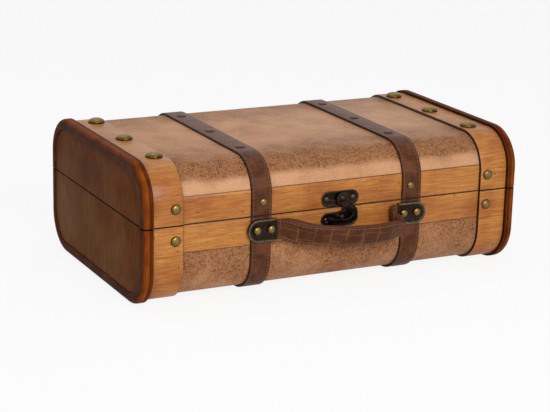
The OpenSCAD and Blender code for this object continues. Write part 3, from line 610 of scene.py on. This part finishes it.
# Straps: 20 mm belts of brown leather with a pressed reptile grain, laid over cover and strips.
# The raised scales are worn darker than the creases, and a row of thread runs along each edge.
# Each half stops a little short of its tray's edge.
def lay_out(piece):
    """Unrolls a bent piece onto its UV map: across it and along the outline, from the front's
    seam to the back's. The grain is about true on the walls and the rounded edges. On the long
    flat run it is drawn finer, 1.4 times under the base and 1.7 times on top of the lid."""
    radius = 31 * mm
    around = 400 * mm
    flat_start = abs(EDGE_CENTRE_Y)
    layer = piece.data.uv_layers.new(name="unrolled")
    for loop in piece.data.loops:
        x, y, z = piece.data.vertices[loop.vertex_index].co
        rise = abs(z - SEAM)
        wall = abs((BASE_BEND if z < SEAM else LID_BEND) - SEAM)
        if rise < wall:
            along = rise
        elif abs(y) > flat_start:
            along = wall + radius * math.atan2(rise - wall, abs(y) - flat_start)
        else:
            along = wall + radius * math.pi / 2 + flat_start - abs(y)
        layer.data[loop.index].uv = (abs(x), along if y < 0 else around - along)


STITCH_IN = 2.2 * mm


def reptile_leather(name, middle, half_width, long_scale, cross_scale, ground_stops,
                    crease_tone, edge_shade_tone):
    """Brown leather pressed with rows of uneven scales of the given length and width, pebbled
    at 1.3 mm and blotched at 11 mm. A stitch every 3.2 mm follows both edges, and middle and
    half width say where those lie on the UV map."""
    made = blank_material(name)
    uv = node(made, "UVMap", uv_map="unrolled")
    wobble = node(made, "TexNoise", {"Vector": uv, "Scale": 110.0, "Detail": 3.0})
    warped = node(made, "Mix", {0: 0.005, 4: uv, 5: wobble.outputs["Color"]}, data_type="VECTOR")
    rows = node(made, "Mapping", {
        "Vector": warped, "Scale": (1 / cross_scale, 1 / long_scale, 1),
        "Location": (0.5 - (middle + 1.5 * mm) / cross_scale, 0, 0)})
    scales = node(made, "TexBrick", {
        "Vector": rows, "Scale": 1.0, "Brick Width": 1.0, "Row Height": 1.0, "Mortar Size": 0.045,
        "Mortar Smooth": 0.8, "Color1": "#c8c8c8", "Color2": "#ffffff"}, offset=0.18)
    pebble = node(made, "TexNoise", {"Vector": uv, "Scale": 800.0, "Detail": 4.0})
    blotch = node(made, "TexNoise", {"Vector": uv, "Scale": 90.0, "Detail": 5.0})
    ground = node(made, "ValToRGB", {"Fac": blotch}, stops=ground_stops)
    varied = node(made, "Mix", {
        0: 0.5, 6: ground, 7: scales.outputs["Color"]}, data_type="RGBA", blend_type="MULTIPLY")
    fades = node(made, "MapRange", {
        "Value": blotch, "From Min": 0.35, "From Max": 0.6, "To Min": 0.35})
    creased = node(made, "Math", {0: scales.outputs["Fac"], 1: fades}, operation="MULTIPLY")
    grained = node(made, "Mix", {0: creased, 6: varied, 7: crease_tone}, data_type="RGBA")
    axes = node(made, "SeparateXYZ", {0: uv})
    off = node(made, "Math", {0: axes.outputs["X"], 1: middle}, operation="SUBTRACT")
    out = node(made, "Math", {0: off}, operation="ABSOLUTE")
    groove = line_at(made, out, half_width - STITCH_IN, 0.2 * mm, 0.4 * mm)
    pitch = node(made, "Math", {0: axes.outputs["Y"], 1: 1 / (3.2 * mm)}, operation="MULTIPLY")
    beat = node(made, "Math", {0: pitch}, operation="FRACT")
    stitch = node(made, "MapRange", {
        "Value": beat, "From Min": 0.55, "From Max": 0.7, "To Min": 0.7, "To Max": 0.0})
    thread = node(made, "Math", {0: groove, 1: stitch}, operation="MULTIPLY")
    sewn = node(made, "Mix", {0: thread, 6: grained, 7: "#7d5232"}, data_type="RGBA")
    # Both edges fade to a dark tone: painted shade on the sides and folds that turn away from the
    # light.
    edge_shade = node(made, "MapRange", {
        "Value": out, "From Min": half_width - 0.9 * mm, "From Max": half_width - 0.2 * mm,
        "To Max": 0.9})
    edged = node(made, "Mix", {0: edge_shade, 6: sewn, 7: edge_shade_tone}, data_type="RGBA")
    sunk = node(made, "Math", {0: scales.outputs["Fac"], 1: groove}, operation="MAXIMUM")
    relief = node(made, "Math", {0: 1.0, 1: sunk}, operation="SUBTRACT")
    pressed = node(made, "Bump", {"Height": relief, "Strength": 0.6, "Distance": 0.3 * mm})
    pored = node(made, "Bump", {
        "Height": pebble, "Strength": 0.35, "Distance": 0.2 * mm, "Normal": pressed})
    face = node(made, "BsdfPrincipled", {
        "Base Color": edged, "Roughness": 0.42, "Specular IOR Level": 0.15, "Normal": pored})
    node(made, "OutputMaterial", {"Surface": face})
    return made


STRAP_X = 76.5 * mm
STRAP_HALF = 10 * mm
STRAP_SHORT = 0.3 * mm
strap_leather = reptile_leather(
    "reptile_grain_strap", STRAP_X, STRAP_HALF, 7 * mm, 6.7 * mm,
    [(0.3, "#42220f"), (0.72, "#6f3f22"), (0.5, "#5a3119")], "#6e4428", "#1e100b")

for tray, lid, seam, wall in TRAYS:
    strap = section(tray + "_leather_strap_right", STRAP_X - STRAP_HALF, STRAP_X + STRAP_HALF,
                    INSET, 4.7 * mm, seam + (STRAP_SHORT if lid else -STRAP_SHORT))
    draw_round(strap, lid, [wall - STRAP_SHORT, BEND, FLAT, BEND, wall - STRAP_SHORT])
    soften(strap, 0.8 * mm, 3)
    lay_out(strap)
    fit_both_ends(strap, tray, "strap_leather", strap_leather, "strap")


# Dome nails: pressed brass heads on steel shanks, driven through bands and straps into the
# wall. The crown is rubbed bright and carries a painted highlight, and the foot of each head is
# left dark and olive, its patina deepened by painted shade.
def turned_head(name, foot, crown, steps=6):
    """A nail head as a stack of rings: a straight edge of 0.14 of its height, then a dome."""
    bpy.ops.mesh.primitive_circle_add(vertices=32, radius=foot, fill_type="NGON")
    head = bpy.context.object
    head.name = head.data.name = name
    edge = 0.14 * crown
    rings = [(foot, edge)]
    for step in range(1, steps + 1):
        turn = step / steps * math.pi / 2
        rings.append((max(foot * math.cos(turn), 0.06 * foot),
                      edge + (crown - edge) * math.sin(turn)))
    open_mesh()
    radius, height = foot, 0
    for ring_radius, ring_height in rings:
        extrude(0, 0, ring_height - height)
        grow = ring_radius / radius
        bpy.ops.transform.resize(value=(grow, grow, 1), center_override=(0, 0, ring_height))
        radius, height = ring_radius, ring_height
    close_mesh()
    height_map = head.data.attributes.new("crown", "FLOAT", "POINT")
    for vertex in head.data.vertices:
        height_map.data[vertex.index].value = vertex.co.z / crown
    bpy.ops.object.shade_smooth_by_angle(angle=math.radians(50))
    return head


def stud(head, name, seats):
    """Copies a head to every seat, each a point and the direction it faces, as one piece.
    The head it was modelled from is used up."""
    copies = []
    for place, facing in seats:
        copy = added(name, head.data.copy())
        turn = Vector((0, 0, 1)).rotation_difference(Vector(facing)).to_matrix().to_4x4()
        copy.data.transform(Matrix.Translation(place) @ turn)
        copies.append(copy)
    bpy.data.objects.remove(head)
    pick(*copies)
    if len(copies) > 1:
        bpy.ops.object.join()
    return copies[0]


def aged_metal(name, dark, main, bright, roughness):
    """Old plated metal with spots 2 mm wide. Each head is bright on its crown, rubbed wear with a
    painted highlight, and dark low down, olive patina with painted shade.
    """
    made = blank_material(name)
    place = node(made, "TexCoord").outputs["Object"]
    crown = node(made, "Attribute", attribute_name="crown", attribute_type="GEOMETRY")
    spots = node(made, "TexNoise", {"Vector": place, "Scale": 520.0, "Detail": 4.0})
    # The height on the head and the spots set the tone: painted highlight on the crown, painted
    # shade at the foot.
    crown_light_and_wear = node(made, "Math", {0: crown.outputs["Fac"], 1: spots}, operation="ADD")
    tone = node(made, "MapRange", {"Value": crown_light_and_wear, "From Min": 0.45, "From Max": 1.55})
    ramp = node(made, "ValToRGB", {"Fac": tone}, stops=[(0.0, dark), (1.0, bright), (0.45, main)])
    gloss = node(made, "MapRange", {
        "Value": spots, "To Min": roughness - 0.08, "To Max": roughness + 0.14})
    dents = node(made, "Bump", {"Height": spots, "Strength": 0.15, "Distance": 0.1 * mm})
    face = node(made, "BsdfPrincipled", {
        "Base Color": ramp, "Metallic": 1.0, "Roughness": gloss, "Normal": dents})
    node(made, "OutputMaterial", {"Surface": face})
    return made


brass = aged_metal("aged_brass", "#1c150a", "#5c4824", "#8c7443", 0.32)
bronze = aged_metal("antique_bronze", "#2a211b", "#4a3d33", "#74675a", 0.3)
# Pale bronze for raised edges: rubbed wear, made bright enough to paint their highlights too.
highlit_rubbed_bronze = aged_metal("rubbed_and_highlit_bronze_edge", "#5c5140", "#887c63", "#b8ab90", 0.3)

# The heads stand on bands and straps, in rows whose middle lies 1 mm towards the front.
NAIL_SEAT = -FRONT - INSET
TOP_SEAT = HEIGHT - INSET
NAIL_SHIFT = -1 * mm
for tray, height in (("base", 62 * mm), ("lid", 90.5 * mm)):
    head = turned_head("band_nail_head", 4.75 * mm, 2.6 * mm)
    seats = [((x * 158.7 * mm, y * NAIL_SEAT, height), (0, y, 0))
             for x in (-1, 1) for y in (-1, 1)]
    fit(stud(head, tray + "_band_dome_nails", seats), tray, "brass_nails", brass,
        tray + "_band_nails")

head = turned_head("top_nail_head", 7.8 * mm, 4.6 * mm, 9)
seats = [((x * 161.5 * mm, i * 69.5 * mm + NAIL_SHIFT, TOP_SEAT), (0, 0, 1))
         for x in (-1, 1) for i in (-1, 0, 1)]
fit(stud(head, "lid_top_dome_nails", seats), "lid", "brass_nails", brass, "lid_top_nails")

# The straps' rivets are small brass domes, two on the lid's front and two on each back.
back_seats = [[((x * STRAP_X, NAIL_SEAT, height), (0, 1, 0)) for x in (-1, 1)]
              for height in (62.7 * mm, 88.4 * mm)]
front_seats = [((x * 75 * mm, -NAIL_SEAT, 88.4 * mm), (0, -1, 0)) for x in (-1, 1)]
for tray, seats in (("base", back_seats[0]), ("lid", front_seats + back_seats[1])):
    head = turned_head("strap_rivet_head", 3.6 * mm, 1.8 * mm)
    fit(stud(head, tray + "_strap_dome_rivets", seats), tray, "brass_nails", brass,
        tray + "_strap_rivets")

# The nails along the straps' flat runs are low dark heads, hammered down into the leather.
browned_steel = aged_metal("browned_steel", "#20150f", "#3c291e", "#5a4030", 0.5)
for tray, height, up in (("base", INSET, -1), ("lid", TOP_SEAT, 1)):
    head = turned_head("strap_nail_head", 4.5 * mm, 1 * mm)
    seats = [((x * STRAP_X, i * 65 * mm + NAIL_SHIFT, height), (0, 0, up))
             for x in (-1, 1) for i in (-1, 0, 1)]
    fit(stud(head, tray + "_strap_flat_nails", seats), tray, "bronze_fittings", browned_steel,
        tray + "_strap_nails")


# Stamped fittings: latch plates, hook, hinge leaves and handle caps are thin steel plates,
# bronzed dark. Their edges are broken round by the press and rubbed paler with use, and the pale
# tone also paints their highlights.
def merged_copy(name, source):
    """A copy of a CAD node as one closed mesh."""
    copy = added(name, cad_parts[source].data.copy())
    copy.data.name = name
    pick(copy)
    open_mesh()
    close_mesh(merge=5 * WELD)
    return copy


def press(copy, edge, sharper=30, crest=None):
    """Rounds the edges of a merged copy and gives them the pale bronze, rubbed wear with painted
    highlights. Crest is the depth of its raised border, which gets the same all over."""
    pick(copy)
    open_mesh()
    bpy.ops.mesh.remove_doubles(threshold=5 * WELD)
    bpy.ops.mesh.dissolve_limited(angle_limit=math.radians(2))
    close_mesh()
    copy.data.materials.clear()
    copy.data.materials.append(bronze)
    copy.data.materials.append(highlit_rubbed_bronze)
    soften(copy, edge, sharper=sharper, smooth=32, slot=1)
    for polygon in copy.data.polygons:
        if crest is not None and abs(polygon.center.y - crest) < 0.12 * mm:
            polygon.material_index = 1
    return copy


def fit_stamped(piece, body, cad_node):
    """Fixes a stamped piece to its body in place of its CAD node."""
    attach(piece, body)
    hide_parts(cad_node)


# The latch's two oval plates and its turned rivet keep their solids' shapes.
for name, cad_node, body, edge in (("pivot_plate_pressed", "latch_pivot_plate", "lid", 0.3),
                                   ("post_plate_pressed", "latch_post_plate", "base", 0.3),
                                   ("pivot_rivet_turned", "latch_pivot_rivet", "lid", 0.15)):
    fit_stamped(press(merged_copy(name, cad_node), edge * mm), body, cad_node)

# The swing hook is one stamping: a disc on the pivot, a broad neck with a bay in its left
# side, and a jaw that closes round the post. Its slot is an arc struck from the pivot.
hook = merged_copy("hook_pressed", "latch_hook")
hook_front = min(vertex.co.y for vertex in hook.data.vertices)
hook_back = max(vertex.co.y for vertex in hook.data.vertices)
PIVOT = (3.8 * mm, 83.8 * mm)


def round_tool(x, z, radius, proud=0.0):
    """A round bar across the hook, at millimetres from its pivot."""
    bpy.ops.mesh.primitive_cylinder_add(
        vertices=72, radius=radius * mm, depth=1,
        location=(PIVOT[0] + x * mm, 0, PIVOT[1] + z * mm), rotation=(math.pi / 2, 0, 0))
    bar = bpy.context.object
    bpy.ops.object.transform_apply()
    for vertex in bar.data.vertices:
        vertex.co.y = hook_front - proud if vertex.co.y < 0 else hook_back + proud
    return bar


def stamp(piece, tool, operation):
    """Joins a tool's shape to the piece, or cuts it with the tool."""
    stroke = piece.modifiers.new("stamp", "BOOLEAN")
    stroke.operation = operation
    stroke.solver = "EXACT"
    stroke.object = tool
    bpy.context.view_layer.objects.active = piece
    bpy.ops.object.modifier_apply(modifier=stroke.name)
    bpy.data.objects.remove(tool)


# The neck is a disc, trimmed where the jaw's outer arc runs. The bay is cut from its left side.
neck = round_tool(4.9, -13.6, 5.45)
stamp(neck, round_tool(0, 0, 14.1, proud=1 * mm), "INTERSECT")
stamp(hook, neck, "UNION")
stamp(hook, round_tool(-1.9, -8.9, 2.6, proud=1 * mm), "DIFFERENCE")
fit_stamped(press(hook, 0.5 * mm), "hook", "latch_hook")

# The caps' raised borders are rubbed pale all round, with painted highlights. The hinges' leaves
# are cut square and only their edges are broken.
CAP_CREST = -115.8 * mm
for side in ("left", "right"):
    cap = merged_copy("cap_pressed_" + side, "handle_cap_" + side)
    fit_stamped(press(cap, 0.4 * mm, crest=CAP_CREST), "base", "handle_cap_" + side)
    for tray in ("base", "lid"):
        cad_node = f"hinge_{tray}_leaf_{side}"
        leaf = merged_copy(f"{tray}_leaf_pressed_{side}", cad_node)
        fit_stamped(press(leaf, 0.2 * mm, 40), tray, cad_node)
    dress("hinge_pin_" + side, bronze)

# Two brass nails hold each cap, with the end of the handle under it.
head = turned_head("cap_nail_head", 3.8 * mm, 2.4 * mm)
seats = [((s * x * mm, FRONT, 63.4 * mm), (0, -1, 0)) for s in (-1, 1) for x in (67.8, 81.5)]
fit(stud(head, "handle_cap_dome_nails", seats), "base", "brass_nails", brass,
    "handle_cap_nails")


# Screws: round steel heads, bronzed like the plates and hinges that they hold, each with a slot
# sawn across it.
LATCH_X = 2.2 * mm
LATCH_REACH = 13.4 * mm
HINGE_X = 112 * mm
HINGE_PITCH = 32 / 3 * mm
PLATE_FACE = 112 * mm


def slotted_head(name, foot, crown):
    """A round screw head with a slot sawn across it."""
    head = turned_head(name, foot, crown, 5)
    bpy.ops.mesh.primitive_cube_add(size=1, location=(0, 0, crown))
    saw = bpy.context.object
    saw.scale = (3 * foot, 0.22 * foot, 1.1 * crown)
    saw.rotation_euler = (0, 0, math.radians(35))
    bpy.ops.object.transform_apply()
    stamp(head, saw, "DIFFERENCE")
    return head


for tray, latch_z, hinge_z in (("base", 64.5 * mm, 64.6 * mm), ("lid", 83.8 * mm, 86.6 * mm)):
    latch_seats = [((LATCH_X + x * LATCH_REACH, -PLATE_FACE, latch_z), (0, -1, 0))
                   for x in (-1, 1)]
    hinge_seats = [((x * (HINGE_X + i * HINGE_PITCH), PLATE_FACE, hinge_z), (0, 1, 0))
                   for x in (-1, 1) for i in (-1, 0, 1)]
    for fitting, crown, seats in (("latch", 0.6 * mm, latch_seats),
                                  ("hinge", 0.8 * mm, hinge_seats)):
        head = slotted_head(fitting + "_screw_head", 2.3 * mm, crown)
        fit(stud(head, f"{tray}_{fitting}_slotted_screws", seats), tray, "bronze_fittings",
            bronze, f"{fitting}_{tray}_screws")


# Handle: one strip of the straps' leather folded over a stiffener and stitched along both
# edges. Its thinned ends lie flat under the caps, and it bows out and droops between them.
MOUTH = 62 * mm
HALF = 56.1 * mm
SHIFT = -3.5 * mm
LEAN = 29.5 * mm
BOW = 24 * mm
FLAT_END = 85.5 * mm
FLEX_Y = -113.3 * mm
FLEX_Z = 62.7 * mm
DROOP = math.radians(20.5)
THICK = 4.4 * mm
TALL = 20.8 * mm
TAB_THICK = 1.3 * mm
GENTLE = 10 * mm
TIGHT = 2.4 * mm
LOOP_X = 57.3 * mm

# The caps' mouths and the leather's ends lie at MOUTH and FLAT_END. HALF, SHIFT, LEAN and BOW
# shape the bow in plan, and GENTLE and TIGHT are the radii of its turns at the two caps.


def eased(value, start, end):
    """A smooth step from 0 at start to 1 at end."""
    part = min(max((value - start) / (end - start), 0), 1)
    return part * part * (3 - 2 * part)


def bow_point(degrees):
    """A point of the bow in plan, from 0 at the right foot to 180 at the left one. It leans
    to the right as it comes out."""
    c, s = math.cos(math.radians(degrees)), math.sin(math.radians(degrees))
    return (SHIFT + HALF * c + LEAN * s, -BOW * s)


# Its middle line in plan: flat under the left cap, a gentle turn outwards, the leaning bow, and
# at the right a tight loop back into the cap.
line = [(-FLAT_END, 0), (-78 * mm, 0), (-70 * mm, 0)]
for step in range(7):
    turn = math.radians(90 - 6.5 * step)
    line.append((-MOUTH - 1.1 * mm + GENTLE * math.cos(turn), GENTLE * (math.sin(turn) - 1)))
line += [bow_point(171.5 - 2.5 * step) for step in range(66)]
for step in range(15):
    turn = math.radians(214 - step * 124 / 14)
    line.append((LOOP_X + TIGHT * math.cos(turn), TIGHT * (math.sin(turn) - 1)))
line += [(70 * mm, 0), (78 * mm, 0), (FLAT_END, 0)]
rail_length = sum(math.dist(a, b) for a, b in zip(line, line[1:]))
rail_curve = bpy.data.curves.new("handle_rail", "CURVE")
rail_curve.dimensions = "3D"
rail_line = rail_curve.splines.new("POLY")
rail_line.points.add(len(line) - 1)
for point, (x, y) in zip(rail_line.points, line):
    point.co = (x, y, 0, 1)
rail = added("handle_rail", rail_curve)

# The bar is drawn straight along X, with rounded folds, and cut into short lengths.
grip = flat_sheet("handle_leather", THICK, TALL)
for x in (-THICK / 2, THICK / 2):
    for y in (-TALL / 2, TALL / 2):
        round_corner(grip, x, y, 0.42 * THICK, 4)
grip.data.transform(Matrix(((0, 0, 1, 0), (1, 0, 0, 0), (0, 1, 0, 0), (0, 0, 0, 1))))
open_mesh()
extrude(rail_length, 0, 0)
close_mesh()
for part in (*grip.data.vertices, *grip.data.edges, *grip.data.polygons):
    part.select = False
for edge in grip.data.edges:
    a, b = (grip.data.vertices[i].co for i in edge.vertices)
    edge.select = abs(a.x - b.x) > rail_length / 2
bpy.ops.object.mode_set(mode="EDIT")
bpy.ops.mesh.select_mode(type="EDGE")
bpy.ops.mesh.subdivide(number_cuts=170)
bpy.ops.object.mode_set(mode="OBJECT")

# One stitch is a short thread sunk at both ends. Two rows run along each face.
bpy.ops.mesh.primitive_uv_sphere_add(segments=10, ring_count=6, radius=1)
stitch = bpy.context.object
stitch.name = "handle_stitch"
stitch.scale = (1.25 * mm, 0.28 * mm, 0.3 * mm)
bpy.ops.object.transform_apply()
STITCH_PITCH = 3.4 * mm
STITCH_ROW = TALL / 2 - STITCH_IN
stitches = []
first = FLAT_END - MOUTH + 9 * mm
count = int((rail_length - 2 * first) / STITCH_PITCH)
for face in (-1, 1):
    for row in (-1, 1):
        for i in range(count + 1):
            copy = added("stitch", stitch.data.copy())
            copy.data.transform(Matrix.Translation(
                (first + i * STITCH_PITCH, face * THICK / 2, row * STITCH_ROW)))
            stitches.append(copy)
bpy.data.objects.remove(stitch)
grip_leather = reptile_leather(
    "reptile_grain_grip", 0, TALL / 2, 15 * mm, 9 * mm,
    [(0.3, "#42200e"), (0.72, "#643418"), (0.5, "#522911")], "#7c4f2f", "#4e2c18")

# The thread is waxed and light brown, and its fibres show as specks 0.6 mm wide.
thread = blank_material("waxed_thread")
thread_place = node(thread, "TexCoord").outputs["Object"]
thread_fibre = node(thread, "TexNoise", {"Vector": thread_place, "Scale": 1800.0, "Detail": 2.0})
thread_tone = node(thread, "ValToRGB", {"Fac": thread_fibre}, stops=[
    (0.3, "#57402b"), (0.7, "#7c5f42")])
thread_face = node(thread, "BsdfPrincipled", {"Base Color": thread_tone, "Roughness": 0.6})
node(thread, "OutputMaterial", {"Surface": thread_face})
grip.data.materials.append(grip_leather)
for piece in stitches:
    piece.data.materials.append(thread)
pick(grip, *stitches)
bpy.ops.object.join()

# The grain and the seams are laid out on the straight bar. Then its ends are skived thin and
# trimmed narrower.
unrolled = grip.data.uv_layers.new(name="unrolled")
for loop in grip.data.loops:
    x, y, z = grip.data.vertices[loop.vertex_index].co
    unrolled.data[loop.index].uv = (z, x)
left_over = [rail_length - vertex.co.x for vertex in grip.data.vertices]
for vertex, rest in zip(grip.data.vertices, left_over):
    full = eased(min(rest, rail_length - rest), FLAT_END - MOUTH, FLAT_END - MOUTH + 14 * mm)
    vertex.co.y *= (TAB_THICK + (THICK - TAB_THICK) * full) / THICK
    vertex.co.z *= 0.88 + 0.12 * full

bend = grip.modifiers.new("bend", "CURVE")
bend.object = rail
bpy.ops.object.modifier_apply(modifier=bend.name)
bpy.data.objects.remove(rail)

# It droops as it comes out. At the right it leans over and sags before it turns up to its cap.
for vertex, rest in zip(grip.data.vertices, left_over):
    x, y, z = vertex.co
    angle = DROOP * eased(-y, 1.5 * mm, 14.5 * mm)
    turning = eased(rest, 29 * mm, 37 * mm)
    z *= 1 - 0.18 * turning * eased(rest, 66 * mm, 52 * mm)
    sag = 5 * mm * turning * eased(rest, 57 * mm, 45 * mm)
    vertex.co = (x, FLEX_Y + y * math.cos(angle) - z * math.sin(angle),
                 FLEX_Z + y * math.sin(angle) + z * math.cos(angle) - sag)
pick(grip)
bpy.ops.object.shade_smooth_by_angle(angle=math.radians(50))
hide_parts("handle_grip", "handle_core", "handle_end_left", "handle_end_right")
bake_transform(grip)
